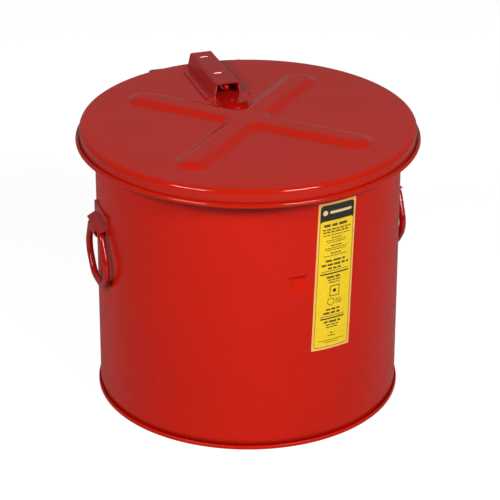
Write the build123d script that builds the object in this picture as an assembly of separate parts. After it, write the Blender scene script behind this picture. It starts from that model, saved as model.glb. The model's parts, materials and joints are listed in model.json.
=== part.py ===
from build123d import *
import math
import os

# A round steel dip tank with a hinged pressed lid, two drop handles and a housing on the lid
# that covers a fusible link. Millimetres. +Z is up, the hinge is at +Y, the front faces -Y and
# the origin is on the tank's axis, on the floor.

# ---- driving dimensions ----
SHEET = 1.2                 # steel sheet of the tank and the lid
TANK_R = 177.0              # outside radius of the tank's wall
RIM_TOP_Z = 331.9           # top of the tank's wired rim
LID_TOP_Z = 333.4           # flat top of the lid
LID_R = 194.4               # outside radius of the lid's skirt
HEM_BOTTOM_Z = 312.8        # lowest point of the lid's rolled hem
HINGE_Y = 204.5             # hinge axis, parallel to X
HINGE_Z = 320.0
HOUSING_TOP_Z = 350.0       # top of the link housing
BAIL_OFFSET = 6.6           # handle pivot, outward from the wall
BAIL_Z = 223.4              # handle pivot, height
RIGHT_TURN = 2.7            # degrees, the right handle sits this far round towards the hinge

# ---- bottom ----
FLOOR_SHEET_Z = 9.0         # top of the bottom sheet
SEAM_H = 5.0                # height of the rolled seam round the bottom
SEAM_SHEET = 2.4            # the rolled band, thicker than the sheet it closes over
SEAM_GAP = 0.1
SEAM_EDGE_R = 0.6

# ---- wired rim and hem ----
CURL_R = 4.0                # outside radius of the rim's curl
HEM_R = 2.9                 # outside radius of the hem's curl
WIRE_GAP = 0.1
CURL_MOUTH = 0.8            # each roll is left open by this much, where it meets its sheet
HEM_MOUTH = 0.6
LID_EDGE_R = 5.3            # outside bend radius where the lid's top meets its skirt

# ---- front dimple, a tilted cylinder pressed into the wall ----
DIMPLE_TOP_Z = 216.0
DIMPLE_H = 22.0
DIMPLE_R = 16.9
DIMPLE_DEPTH = 6.0

# ---- pressed X on the lid ----
CROSS_REACH = 152.0         # from the lid's centre to the end of an arm
CROSS_W = 34.0
CROSS_H = 5.0
CROSS_EDGE_R = 4.6
CROSS_CORNER_R = 10.0

# ---- label ----
LABEL_W = 50.8
LABEL_H = 182.0
LABEL_MID_Z = 208.5
LABEL_T = 0.3
LABEL_CORNER_R = 2.5
LABEL_AT = -75.2            # degrees from +X, seen from above
LABEL_LEAN = 2.2            # degrees, top towards +X

# ---- drop handles ----
ROD_R = 4.0
CLIP_W = 50.0
CLIP_SHEET = 1.6
CLIP_TOP = 24.0             # plate's top edge, above the pivot
CLIP_FOOT = 1.0             # plate's bottom edge, below the pivot
CLIP_FOLD = 10.0            # above the pivot, where the strap leaves the plate
CLIP_FOLD_INSIDE = 6.5      # the same for the strap's inner face
CLIP_BORE_R = 4.6
CLIP_LOOP_HALF = 13.5       # the closed loop's half width, between the bail's legs
CLIP_LIP = 4.4              # above the pivot, where the open ends of the fold stop
BAIL_LEAN = 1.5             # degrees from plumb, foot towards the wall
BAIL_CORNERS = [(21.3, 0.0), (41.5, -38.0), (21.0, -67.5)]  # half width and drop
BAIL_BENDS = [9.0, 24.0, 20.0]

# ---- hinge ----
HINGE_HALF = 57.0           # half of the barrel's length
KNUCKLE_R = 4.75
PIN_R = 2.5
LID_BORE_R = 2.55           # running fit on the pin
TANK_BORE_R = 2.52
PLATE = 2.0                 # bracket sheet
PIN_HEAD_R = 4.0
PIN_HEAD_T = 1.4
PIN_PLAY = 0.2              # between the end knuckle and the pin's head
UPRIGHT_TOP = 6.5           # below the hinge axis, where the upright stops between knuckles
KNUCKLE_TAIL = 8.0          # below the hinge axis, where a knuckle's own strip starts
LEAF_CLEAR = 0.6            # the lid's leaf stays this far off the barrel and the hem
LEAF_INSET = 7.0            # the leaf is shorter than the barrel at each end
KNUCKLE_ENDS = [11.5, 34.5]  # where the centre knuckle and the lid's knuckles end
KNUCKLE_GAP = 0.3
SHELF_Z = 300.0             # top of the bracket's shelf
FOOT_H = 32.0
BRACKET_RIVETS = [-40.0, -14.0, 14.0, 40.0]
RIVET_SHANK_R = 2.4
RIVET_HEAD_R = 4.5
RIVET_HEAD_H = 2.2
RIVET_SEAT = 0.06           # keeps a flat head clear of the curved wall

# ---- link housing and what it covers ----
HOUSING_SHEET = 1.5
HOUSING_FRONT_Y = 77.0
HOUSING_BACK_Y = 182.0
HOUSING_TOP_HALF = 13.6
HOUSING_BEND_R = 2.8        # outside radius of the two bends along its top
HOUSING_FOOT_HALF = 17.0
FLANGE_HALF = 28.0
FLANGE_FRONT_Y = 73.0
FLANGE_BACK_Y = 165.0
FLANGE_CORNER_R = 4.0
SLOTS = [(113.0, 339.0), (168.0, 346.6)]  # each lanced slot's back edge and its tab's foot
SLOT_W = 13.0
SLOT_L = 3.5
TAB_BEND_R = 1.3            # where each lanced tab turns down
TONGUE_HALF = 14.4
TONGUE_BACK_Y = 106.0
TONGUE_ROUND_Y = 52.0
TONGUE_ROUND_R = 16.0
LIP_H = 7.6
LIP_SLOPE = 19.0            # degrees, the turned-up edge falls away towards the sides
POST_Y = 101.0              # a post that the link's rod passes through
POST_HALF = 5.2
POST_OVER = 4.4             # the post's top, above the link's centre line
LIP_RIVET_Y = 60.0
LIP_RIVET_R = 2.6
LIP_RIVET_H = 1.8
LINK_Z = 343.5              # the link's centre line
LINK_ROD_R = 3.2
LINK_ROD_FRONT_Y = 77.6
LINK_ROD_BACK_Y = 124.0     # the front eyelet
LINK_ROUND_BACK_Y = 118.0   # behind this the rod is flattened
LINK_FLAT_HALF = 4.5
LINK_FLAT_T = 2.4
LINK_PLATE = 0.9
LINK_W = 12.0
LINK_LAP = [134.0, 148.0]   # the two plates overlap between these
LINK_END = 5.0              # plate beyond each eyelet
SOLDER_T = 0.15
SOLDER_EDGE = 1.5           # the solder stops this far inside the overlap
ANCHOR_Y = 168.0            # the rear eyelet and the stirrup that carries it
ANCHOR_HALF = 5.0
ANCHOR_BACK = 9.0           # the stirrup's back face, behind the eyelet
EYELET_R = 1.6
EYELET_FLANGE_R = 2.6
EYELET_FLANGE_T = 0.8

os.makedirs("parts", exist_ok=True)

TOP_UNDER_Z = LID_TOP_Z - SHEET
RIM_Z = RIM_TOP_Z - CURL_R
RIM_R = TANK_R - SHEET + CURL_R
HEM_Z = HEM_BOTTOM_Z + HEM_R
HEM_CENTRE_R = LID_R - SHEET + HEM_R
UPPER_Z = LINK_Z + LINK_FLAT_T / 2         # underside of the link's front plate
LOWER_Z = UPPER_Z - SOLDER_T - LINK_PLATE  # underside of its rear plate


def box(x0, x1, y0, y1, z0, z1):
    """A block between two corners."""
    size = Box(x1 - x0, y1 - y0, z1 - z0)
    return Pos((x0 + x1) / 2, (y0 + y1) / 2, (z0 + z1) / 2) * size


def strip(x0, x1, y0, y1):
    """A flat rectangle between two corners."""
    return Pos((x0 + x1) / 2, (y0 + y1) / 2) * Rectangle(x1 - x0, y1 - y0)


def spin(section):
    """Turn a section, drawn as radius and height, about the tank's axis."""
    return revolve(Plane.XZ * section, Axis.Z, 360)


def rod(radius, start, end):
    """A round bar between two points."""
    axis = Vector(*end) - Vector(*start)
    base = Plane(origin=start, z_dir=axis)
    return extrude(base * Circle(radius), axis.length)


def torus(ring_r, wire_r, z):
    return spin(Pos(ring_r, z) * Circle(wire_r))


def rivet(foot, outward, shank):
    """A domed rivet: its head stands on foot, and its shank runs back by shank."""
    base = Plane(origin=foot, z_dir=outward)
    dome_r = (RIVET_HEAD_R ** 2 + RIVET_HEAD_H ** 2) / (2 * RIVET_HEAD_H)
    ball = base * Pos(0, 0, RIVET_HEAD_H - dome_r) * Sphere(dome_r)
    head = ball & extrude(base * Circle(RIVET_HEAD_R), RIVET_HEAD_H)
    return head + extrude(base * Circle(RIVET_SHANK_R), -shank)


def bracket_rivet_places():
    """Where each bracket rivet passes through the wall: a direction and a height."""
    z = SHELF_Z - FOOT_H / 2 - PLATE / 2
    angles = [math.pi / 2 - x / TANK_R for x in BRACKET_RIVETS]
    return [(math.cos(a), math.sin(a), z) for a in angles]


def bracket_rivet_holes():
    holes = Part()
    near, far = TANK_R - 10, TANK_R + 10
    for x, y, z in bracket_rivet_places():
        holes += rod(RIVET_SHANK_R, (near * x, near * y, z), (far * x, far * y, z))
    return holes


# ---- tank ----
def dimple(grow):
    """The dimple's tool: a cylinder that leans out of the wall towards its foot."""
    radius = DIMPLE_R + grow
    stand_off = DIMPLE_R - DIMPLE_DEPTH
    top = (0, -TANK_R - stand_off, DIMPLE_TOP_Z)
    foot = (0, -TANK_R - DIMPLE_R, DIMPLE_TOP_Z - DIMPLE_H)
    axis = Vector(*top) - Vector(*foot)
    above = Vector(*top) + axis
    below = Vector(*foot) - axis
    tool = rod(radius, tuple(below), tuple(above))
    reach = 2 * radius
    ceiling = DIMPLE_TOP_Z + grow
    floor = ceiling - 3 * DIMPLE_H
    return tool & box(-reach, reach, -TANK_R - reach, -TANK_R + reach, floor, ceiling)


def make_tank_shell():
    wall = strip(TANK_R - SHEET, TANK_R, SEAM_SHEET + SEAM_GAP, RIM_Z)
    curl = Circle(CURL_R) - Circle(CURL_R - SHEET) - strip(-CURL_R, -CURL_MOUTH, -CURL_R, 0)
    shell = spin(wall + Pos(RIM_R, RIM_Z) * curl)
    inside = Pos(0, 0, DIMPLE_TOP_Z) * Cylinder(TANK_R - SHEET / 2, 4 * DIMPLE_H)
    return shell + (dimple(SHEET) & inside) - dimple(0) - bracket_rivet_holes()


def make_tank_bottom():
    outer = TANK_R - SHEET - SEAM_GAP
    disc = strip(0, outer, FLOOR_SHEET_Z - SHEET, FLOOR_SHEET_Z)
    flange = strip(outer - SHEET, outer, SEAM_SHEET + SEAM_GAP, FLOOR_SHEET_Z)
    return spin(disc + flange)


def make_bottom_seam():
    inner = TANK_R - 2 * SHEET - 2 * SEAM_GAP
    band = strip(inner - SEAM_SHEET, TANK_R + SEAM_GAP + SEAM_SHEET, 0, SEAM_H)
    band = fillet(band.vertices(), SEAM_EDGE_R)
    return spin(band - strip(inner, TANK_R + SEAM_GAP, SEAM_SHEET, SEAM_H + 1))


def make_label():
    ring = spin(strip(TANK_R, TANK_R + LABEL_T, 0, RIM_Z))
    card = extrude(RectangleRounded(LABEL_W, LABEL_H, LABEL_CORNER_R), TANK_R + 20)
    facing = Plane(origin=(0, 0, LABEL_MID_Z), x_dir=(0, 1, 0), z_dir=(1, 0, 0))
    return Rot(0, 0, LABEL_AT) * (facing * (Rot(0, 0, -LABEL_LEAN) * card)) & ring


# ---- drop handles, drawn on the +X side ----
def tangent_point(centre, radius, point):
    """Where a line from point touches a circle, on the circle's outward upper side."""
    dx = point[0] - centre[0]
    dy = point[1] - centre[1]
    away = math.atan2(dy, dx) - math.acos(radius / math.hypot(dx, dy))
    return (centre[0] + radius * math.cos(away), centre[1] + radius * math.sin(away))


def teardrop(radius, back, top):
    """A loop's outline: round the bar, with a flat back and a slope up to the plate."""
    bar = (TANK_R + BAIL_OFFSET, BAIL_Z)
    corner = (back, top)
    outline = [corner, tangent_point(bar, radius, corner), bar]
    outline += [(bar[0], BAIL_Z - radius), (back, BAIL_Z - radius)]
    return make_face(Polyline(*outline, close=True)) + Pos(*bar) * Circle(radius)


def make_clip():
    face = TANK_R + CLIP_SHEET
    loop_r = CLIP_BORE_R + CLIP_SHEET
    deep = TANK_R - 4           # far enough in for the tank's curve to trim the clip's back
    loop = teardrop(loop_r, face, BAIL_Z + CLIP_FOLD)
    loop += strip(deep, face, BAIL_Z - loop_r, BAIL_Z + CLIP_FOLD)
    loop -= teardrop(CLIP_BORE_R, face, BAIL_Z + CLIP_FOLD_INSIDE)
    middle = extrude(Plane.XZ * loop, CLIP_LOOP_HALF, both=True)
    half = CLIP_W / 2
    ends = extrude(Plane.XZ * loop, half, both=True)
    ends -= box(deep, face + 40, -half - 1, half + 1, BAIL_Z - 40, BAIL_Z + CLIP_LIP)
    plate = box(deep, face, -half, half, BAIL_Z - CLIP_FOOT, BAIL_Z + CLIP_TOP)
    clip = middle + ends + plate
    return clip - Cylinder(TANK_R, 2 * RIM_Z)


def make_bail():
    lean = math.radians(BAIL_LEAN)
    pivot = (TANK_R + BAIL_OFFSET, 0, BAIL_Z)
    plane = Plane(origin=pivot, x_dir=(0, 1, 0), z_dir=(math.cos(lean), 0, -math.sin(lean)))
    corners = BAIL_CORNERS + [(-x, y) for x, y in reversed(BAIL_CORNERS)]
    bends = BAIL_BENDS + BAIL_BENDS[::-1]
    path = plane * FilletPolyline(*corners, radius=bends, close=True)
    start = Plane(origin=path @ 0, z_dir=path % 0)
    return sweep(start * Circle(ROD_R), path)


# ---- hinge ----
def barrel(x0, x1):
    return rod(KNUCKLE_R, (x0, HINGE_Y, HINGE_Z), (x1, HINGE_Y, HINGE_Z))


def bore(radius):
    reach = HINGE_HALF + 10
    return rod(radius, (-reach, HINGE_Y, HINGE_Z), (reach, HINGE_Y, HINGE_Z))


def both_sides(x0, x1, make):
    """The same knuckle left and right of the middle."""
    return make(x0, x1) + make(-x1, -x0)


def make_hinge_bracket():
    near, far = KNUCKLE_ENDS
    shelf = box(-HINGE_HALF, HINGE_HALF, 150, HINGE_Y + 1, SHELF_Z - PLATE, SHELF_Z)
    upright_y = (HINGE_Y - 1, HINGE_Y + 1)
    upright = box(-HINGE_HALF, HINGE_HALF, *upright_y, SHELF_Z - PLATE, HINGE_Z - UPRIGHT_TOP)
    foot = spin(strip(TANK_R, TANK_R + PLATE, SHELF_Z - FOOT_H, SHELF_Z))
    foot &= box(-HINGE_HALF, HINGE_HALF, 100, TANK_R + 10, 0, RIM_Z)

    def knuckle(x0, x1):
        return barrel(x0, x1) + box(x0, x1, *upright_y, HINGE_Z - KNUCKLE_TAIL, HINGE_Z)

    bracket = shelf + upright + foot + knuckle(-near, near)
    bracket += both_sides(far + KNUCKLE_GAP, HINGE_HALF, knuckle)
    bracket -= bore(TANK_BORE_R)
    return bracket - Cylinder(TANK_R, 2 * RIM_Z) - bracket_rivet_holes()


def make_bracket_rivets():
    """Rivets with a domed head outside and another inside the tank."""
    outer_r = TANK_R + PLATE
    inner_r = TANK_R - SHEET - RIVET_SEAT
    rivets = []
    for x, y, z in bracket_rivet_places():
        outer = rivet((outer_r * x, outer_r * y, z), (x, y, 0), outer_r - inner_r)
        inner = rivet((inner_r * x, inner_r * y, z), (-x, -y, 0), RIVET_SEAT)
        rivets.append(outer + inner)
    return rivets


def make_hinge_pin():
    reach = HINGE_HALF + PIN_PLAY
    pin = rod(PIN_R, (-reach, HINGE_Y, HINGE_Z), (reach, HINGE_Y, HINGE_Z))
    for side in (-1, 1):
        inner = (side * reach, HINGE_Y, HINGE_Z)
        outer = (side * (reach + PIN_HEAD_T), HINGE_Y, HINGE_Z)
        pin += rod(PIN_HEAD_R, inner, outer)
    return pin


def make_lid_leaf():
    near, far = KNUCKLE_ENDS
    top = HINGE_Z + KNUCKLE_R
    under = top - HOUSING_SHEET
    back = HINGE_Y - KNUCKLE_R - LEAF_CLEAR
    half = HINGE_HALF - LEAF_INSET
    shelf = box(-half, half, 150, back, under, top)
    turned = spin(strip(LID_R, LID_R + HOUSING_SHEET, HEM_Z + HEM_R + LEAF_CLEAR, top))
    shelf += turned & box(-half, half, 100, LID_R + 20, 0, top)

    def knuckle(x0, x1):
        return barrel(x0, x1) + box(x0, x1, back - 1, HINGE_Y, under, top)

    leaf = shelf + both_sides(near + KNUCKLE_GAP, far, knuckle)
    leaf -= bore(LID_BORE_R)
    return leaf - Cylinder(LID_R, 3 * RIM_Z)


# ---- lid ----
def cross(reach, width, corner_r, base_z, top_z, edge_r):
    """The pressed X, as a solid pad with a rounded top edge."""
    arms = Rot(0, 0, 45) * SlotOverall(2 * reach, width)
    arms += Rot(0, 0, -45) * SlotOverall(2 * reach, width)
    crotches = [v for v in arms.vertices() if Vector(v.X, v.Y).length < width]
    arms = fillet(crotches, corner_r)
    pad = extrude(Pos(0, 0, base_z) * arms, top_z - base_z)
    top_face = pad.faces().sort_by(Axis.Z)[-1]
    return fillet(top_face.edges(), edge_r)


def make_lid_panel():
    bend_r = LID_R - LID_EDGE_R
    bend_z = LID_TOP_Z - LID_EDGE_R
    disc = strip(0, bend_r, TOP_UNDER_Z, LID_TOP_Z)
    skirt = strip(LID_R - SHEET, LID_R, HEM_Z, bend_z)
    quarter = strip(0, LID_EDGE_R, 0, LID_EDGE_R)
    bend = (Circle(LID_EDGE_R) - Circle(LID_EDGE_R - SHEET)) & quarter
    hem = Circle(HEM_R) - Circle(HEM_R - SHEET) - strip(-HEM_R, -HEM_MOUTH, 0, HEM_R)
    section = disc + skirt + Pos(bend_r, bend_z) * bend + Pos(HEM_CENTRE_R, HEM_Z) * hem
    outer_top = LID_TOP_Z + CROSS_H
    outer = cross(CROSS_REACH, CROSS_W, CROSS_CORNER_R, TOP_UNDER_Z, outer_top, CROSS_EDGE_R)
    inner = cross(CROSS_REACH - SHEET, CROSS_W - 2 * SHEET, CROSS_CORNER_R + SHEET,
                  TOP_UNDER_Z - 1, outer_top - SHEET, CROSS_EDGE_R - SHEET)
    return spin(section) + outer - inner


def hat(top_half, foot_half, top_z, foot_z, bend_r):
    """The housing's section: wider at its foot, with its two top corners bent by bend_r."""
    corners = [(-foot_half, foot_z), (-top_half, top_z), (top_half, top_z), (foot_half, foot_z)]
    face = make_face(Polyline(*corners, close=True))
    return fillet(face.vertices().group_by(Axis.Y)[-1], bend_r)


def make_link_housing():
    """A hat section, closed behind and open in front, flanged and lanced with two slots."""
    back = Plane(origin=(0, HOUSING_BACK_Y, 0), x_dir=(1, 0, 0), z_dir=(0, -1, 0))
    outer = hat(HOUSING_TOP_HALF, HOUSING_FOOT_HALF, HOUSING_TOP_Z, LID_TOP_Z, HOUSING_BEND_R)
    shell = extrude(back * outer, HOUSING_BACK_Y - HOUSING_FRONT_Y)
    inner = hat(HOUSING_TOP_HALF - HOUSING_SHEET, HOUSING_FOOT_HALF - HOUSING_SHEET,
                HOUSING_TOP_Z - HOUSING_SHEET, LID_TOP_Z - 0.5, HOUSING_BEND_R - HOUSING_SHEET)
    tunnel = extrude(back * inner, HOUSING_BACK_Y - FLANGE_FRONT_Y + 1)
    tunnel &= box(-FLANGE_HALF, FLANGE_HALF, 0, HOUSING_BACK_Y - HOUSING_SHEET, 0, HOUSING_TOP_Z)
    flange_z = LID_TOP_Z + HOUSING_SHEET
    flange = box(-FLANGE_HALF, FLANGE_HALF, FLANGE_FRONT_Y, FLANGE_BACK_Y, LID_TOP_Z, flange_z)
    flange = fillet(flange.edges().filter_by(Axis.Z), FLANGE_CORNER_R)
    housing = shell + flange - tunnel
    half = SLOT_W / 2
    for y, tab_foot_z in SLOTS:
        mouth = box(-half, half, y - SLOT_L, y, LINK_Z, HOUSING_TOP_Z + 1)
        tab = box(-half, half, y, y + HOUSING_SHEET, tab_foot_z, HOUSING_TOP_Z - 1)
        hole = rod(LINK_ROD_R + 0.2, (0, y - 1, LINK_Z), (0, y + 3, LINK_Z))
        housing = housing - mouth + (tab - hole)
        across = housing.edges().filter_by(Axis.X).group_by(Axis.Z)[-1]
        housing = fillet(across.sort_by_distance((0, y, HOUSING_TOP_Z))[0], TAB_BEND_R)
    return housing


def make_finger_lip():
    """A flat tongue from under the housing, with a rounded front edge turned up."""
    foot_z = LID_TOP_Z + HOUSING_SHEET
    centre = Pos(0, TONGUE_ROUND_Y)
    floor = strip(-TONGUE_HALF, TONGUE_HALF, TONGUE_ROUND_Y, TONGUE_BACK_Y)
    front = strip(-TONGUE_ROUND_R, TONGUE_ROUND_R, 0, TONGUE_ROUND_Y)
    round_end = centre * Circle(TONGUE_ROUND_R)
    plan = floor + (round_end & front)
    rim = plan & (round_end - centre * Circle(TONGUE_ROUND_R - HOUSING_SHEET))
    lip = extrude(Pos(0, 0, LID_TOP_Z) * rim, LIP_H)
    tilt = math.radians(LIP_SLOPE)
    above = Plane(origin=(0, TONGUE_ROUND_Y + 2, foot_z), x_dir=(1, 0, 0),
                  z_dir=(0, math.sin(tilt), math.cos(tilt)))
    lip -= above * Pos(0, 0, 20) * Box(80, 80, 40)
    plate = extrude(Pos(0, 0, LID_TOP_Z) * plan, HOUSING_SHEET)
    post_back = POST_Y + HOUSING_SHEET
    post = box(-POST_HALF, POST_HALF, POST_Y, post_back, LID_TOP_Z, LINK_Z + POST_OVER)
    post -= rod(LINK_ROD_R + 0.05, (0, POST_Y - 1, LINK_Z), (0, post_back + 1, LINK_Z))
    return plate + lip + post


def make_lip_rivet():
    foot_z = LID_TOP_Z + HOUSING_SHEET
    shank = Pos(0, LIP_RIVET_Y, foot_z + LIP_RIVET_H / 2) * Cylinder(LIP_RIVET_R, LIP_RIVET_H)
    return Pos(0, LIP_RIVET_Y, foot_z) * Sphere(LIP_RIVET_R) & shank


def make_link_rod():
    """A round rod with a domed front end; its rear end is flattened for the link's eyelet."""
    dome_y = LINK_ROD_FRONT_Y + LINK_ROD_R
    body = rod(LINK_ROD_R, (0, dome_y, LINK_Z), (0, LINK_ROUND_BACK_Y, LINK_Z))
    body += Pos(0, dome_y, LINK_Z) * Sphere(LINK_ROD_R)
    half_t = LINK_FLAT_T / 2
    flat = box(-LINK_FLAT_HALF, LINK_FLAT_HALF, LINK_ROUND_BACK_Y - 2, LINK_ROD_BACK_Y + 4,
               LINK_Z - half_t, LINK_Z + half_t)
    flat = fillet(flat.edges().filter_by(Axis.Z), 2)
    return body + flat - eye(LINK_ROD_BACK_Y)


def eye(y):
    """The hole that an eyelet fills."""
    return rod(EYELET_R, (0, y, LINK_Z - 5), (0, y, LINK_Z + 5))


def link_plate(y0, y1, z0, eye_y):
    plate = box(-LINK_W / 2, LINK_W / 2, y0, y1, z0, z0 + LINK_PLATE)
    plate = fillet(plate.edges().filter_by(Axis.Z), 3)
    return plate - eye(eye_y)


def make_link_solder():
    """The low-melting solder that holds the two plates together."""
    half = LINK_W / 2 - SOLDER_EDGE
    start, end = LINK_LAP
    return box(-half, half, start + SOLDER_EDGE, end - SOLDER_EDGE, UPPER_Z - SOLDER_T, UPPER_Z)


def eyelet(y, z0, z1):
    body = rod(EYELET_R, (0, y, z0), (0, y, z1))
    body += rod(EYELET_FLANGE_R, (0, y, z0 - EYELET_FLANGE_T), (0, y, z0))
    return body + rod(EYELET_FLANGE_R, (0, y, z1), (0, y, z1 + EYELET_FLANGE_T))


def make_link_eyelets():
    front = eyelet(LINK_ROD_BACK_Y, LINK_Z - LINK_FLAT_T / 2, UPPER_Z + LINK_PLATE)
    return [front, eyelet(ANCHOR_Y, LOWER_Z - HOUSING_SHEET, LOWER_Z + LINK_PLATE)]


def make_link_anchor():
    """A Z-shaped stirrup that holds the link's rear end up from the lid."""
    half = ANCHOR_HALF
    front, back = ANCHOR_Y - 5, ANCHOR_Y + ANCHOR_BACK
    arm = box(-half, half, front, back, LOWER_Z - HOUSING_SHEET, LOWER_Z) - eye(ANCHOR_Y)
    leg = box(-half, half, back - HOUSING_SHEET, back, LID_TOP_Z, LOWER_Z)
    foot = box(-half, half, front, back, LID_TOP_Z, LID_TOP_Z + HOUSING_SHEET)
    return arm + leg + foot


# ---- write the parts ----
def solids_of(made):
    """One solid, or a compound of the separate solids of a group."""
    pieces = made if isinstance(made, list) else [made]
    solids = [s for piece in pieces for s in piece.solids()]
    return solids[0] if len(solids) == 1 else Compound(children=solids)


CLIP = make_clip()
BAIL = make_bail()
FRONT_PLATE = link_plate(LINK_ROD_BACK_Y - LINK_END, LINK_LAP[1], UPPER_Z, LINK_ROD_BACK_Y)
REAR_PLATE = link_plate(LINK_LAP[0], ANCHOR_Y + LINK_END, LOWER_Z, ANCHOR_Y)
PARTS = {
    "tank_shell": make_tank_shell(),
    "rim_wire": torus(RIM_R, CURL_R - SHEET - WIRE_GAP, RIM_Z),
    "tank_bottom": make_tank_bottom(),
    "bottom_seam": make_bottom_seam(),
    "label": make_label(),
    "handle_clip_right": Rot(0, 0, RIGHT_TURN) * CLIP,
    "handle_clip_left": mirror(CLIP, Plane.YZ),
    "bail_right": Rot(0, 0, RIGHT_TURN) * BAIL,
    "bail_left": mirror(BAIL, Plane.YZ),
    "hinge_bracket": make_hinge_bracket(),
    "bracket_rivets": make_bracket_rivets(),
    "hinge_pin": make_hinge_pin(),
    "lid_panel": make_lid_panel(),
    "hem_wire": torus(HEM_CENTRE_R, HEM_R - SHEET - WIRE_GAP, HEM_Z),
    "lid_hinge_leaf": make_lid_leaf(),
    "link_housing": make_link_housing(),
    "finger_lip": make_finger_lip(),
    "lip_rivet": make_lip_rivet(),
    "link_rod": make_link_rod(),
    "link_front_plate": FRONT_PLATE,
    "link_rear_plate": REAR_PLATE,
    "link_solder": make_link_solder(),
    "link_eyelets": make_link_eyelets(),
    "link_anchor": make_link_anchor(),
}

for name, made in PARTS.items():
    export_step(solids_of(made), f"parts/{name}.step")
    print(name, "written")
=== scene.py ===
# %% [markdown]
# # A steel dip tank with a hinged lid
# The object is a round tank of 1.2 mm sheet steel, about 354 mm across, with a pressed lid
# on a rear hinge, two drop handles and a folded housing on the lid that covers a fusible link.
# The moving model is made already, in CAD, and this file builds its looks around it.
# Everything is in metres in the CAD's frame: Z is up, the hinge is at +Y and the front faces -Y.

# %% Load the frame
import json
import math
import random

import bmesh
import bpy
from mathutils import Matrix, Vector


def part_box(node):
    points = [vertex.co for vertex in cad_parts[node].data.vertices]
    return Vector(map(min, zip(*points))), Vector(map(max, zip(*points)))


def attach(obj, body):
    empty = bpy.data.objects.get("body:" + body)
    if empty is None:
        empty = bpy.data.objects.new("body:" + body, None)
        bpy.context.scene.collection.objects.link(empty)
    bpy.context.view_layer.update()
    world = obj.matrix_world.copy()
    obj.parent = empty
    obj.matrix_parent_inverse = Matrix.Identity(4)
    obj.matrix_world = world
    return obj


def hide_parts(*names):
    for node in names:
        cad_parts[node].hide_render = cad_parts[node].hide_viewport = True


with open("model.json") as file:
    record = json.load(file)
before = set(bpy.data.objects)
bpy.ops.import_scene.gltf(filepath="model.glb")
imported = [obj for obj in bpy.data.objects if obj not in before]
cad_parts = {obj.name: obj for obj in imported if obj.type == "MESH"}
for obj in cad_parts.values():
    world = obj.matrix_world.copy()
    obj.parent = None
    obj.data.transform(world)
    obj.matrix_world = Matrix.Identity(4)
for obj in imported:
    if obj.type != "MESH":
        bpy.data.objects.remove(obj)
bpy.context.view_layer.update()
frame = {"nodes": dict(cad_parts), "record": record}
MM = 0.001


def box_mm(node):
    """The lowest and the highest corner of a CAD part's box, in mm."""
    low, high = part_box(node)
    return low / MM, high / MM


# %% [markdown]
# ## Camera
# A long lens from well back keeps the ellipses of the rim and the foot calm, as in a catalogue.
# The camera stands to the left of the front and looks down on the lid by about 26 degrees.

# %% Camera
CAMERA_PLACE = Vector((-0.7925, -2.3824, 1.3966))
CAMERA_TURN = math.radians(-18.458)
CAMERA_PITCH = math.radians(63.91)
CAMERA_ROLL = 0.0027
CAMERA_LENS = 170.36

camera_data = bpy.data.cameras.new("camera")
camera_data.lens = CAMERA_LENS
camera = bpy.data.objects.new("camera", camera_data)
turns = (Matrix.Rotation(CAMERA_TURN, 4, "Z"), Matrix.Rotation(CAMERA_PITCH, 4, "X"),
         Matrix.Rotation(CAMERA_ROLL, 4, "Z"))
camera.matrix_world = Matrix.Translation(CAMERA_PLACE) @ turns[0] @ turns[1] @ turns[2]
bpy.context.scene.collection.objects.link(camera)
bpy.context.scene.camera = camera
print("camera to axis, m:", round(math.hypot(CAMERA_PLACE.x, CAMERA_PLACE.y), 3))

# %% [markdown]
# ## Helpers for materials
# Colours are given as the hex values that a paint chart shows, which are sRGB, and one function
# turns them to the linear values that the shader works in. One more adds a node, sets its values
# and joins its inputs, so that a material reads as a short list of what feeds what.

# %% Colour and nodes
def colour(hex_value):
    """An sRGB hex colour as linear RGBA."""
    parts = [int(hex_value[i:i + 2], 16) / 255 for i in (0, 2, 4)]
    linear = [p / 12.92 if p <= 0.04045 else ((p + 0.055) / 1.055) ** 2.4 for p in parts]
    return (*linear, 1.0)


def add(tree, kind, values=None, links=None, **settings):
    """A node of that kind, with its settings, its inputs' values and what feeds its inputs."""
    node = tree.nodes.new(kind)
    for name, value in settings.items():
        setattr(node, name, value)
    for key, value in (values or {}).items():
        node.inputs[key].default_value = value
    for key, source in (links or {}).items():
        tree.links.new(source, node.inputs[key])
    return node


def new_material(name):
    """An empty material with its shader joined to the output."""
    material = bpy.data.materials.new(name)
    material.use_nodes = True
    tree = material.node_tree
    tree.nodes.clear()
    shader = add(tree, "ShaderNodeBsdfPrincipled")
    add(tree, "ShaderNodeOutputMaterial", links={"Surface": shader.outputs["BSDF"]})
    spot = add(tree, "ShaderNodeTexCoord").outputs["Object"]
    return material, tree, shader, spot


def per_mm(size_in_mm):
    """A noise or Voronoi scale whose features are about that many millimetres across."""
    return 1 / (size_in_mm * MM)


# %% [markdown]
# ## Studio
# The floor and the surroundings are nearly white, so glossy enamel picks up a pale rim where
# its sides turn away from the viewer. Two soft boxes, wider than they are tall, stand above and
# to each side of the viewer. Each draws a short bright line on the lid's bend and another on its
# hem, and because both are high, they leave the inside of the housing and the pocket's top edge
# in shadow.

# %% Lamps
LAMP_RISE = math.radians(34)
LAMP_DISTANCE = 2.6
LAMP_WIDTH = 0.9
LAMP_HEIGHT = 0.6
LAMP_AIM = Vector((0, 0, 0.2))


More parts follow.
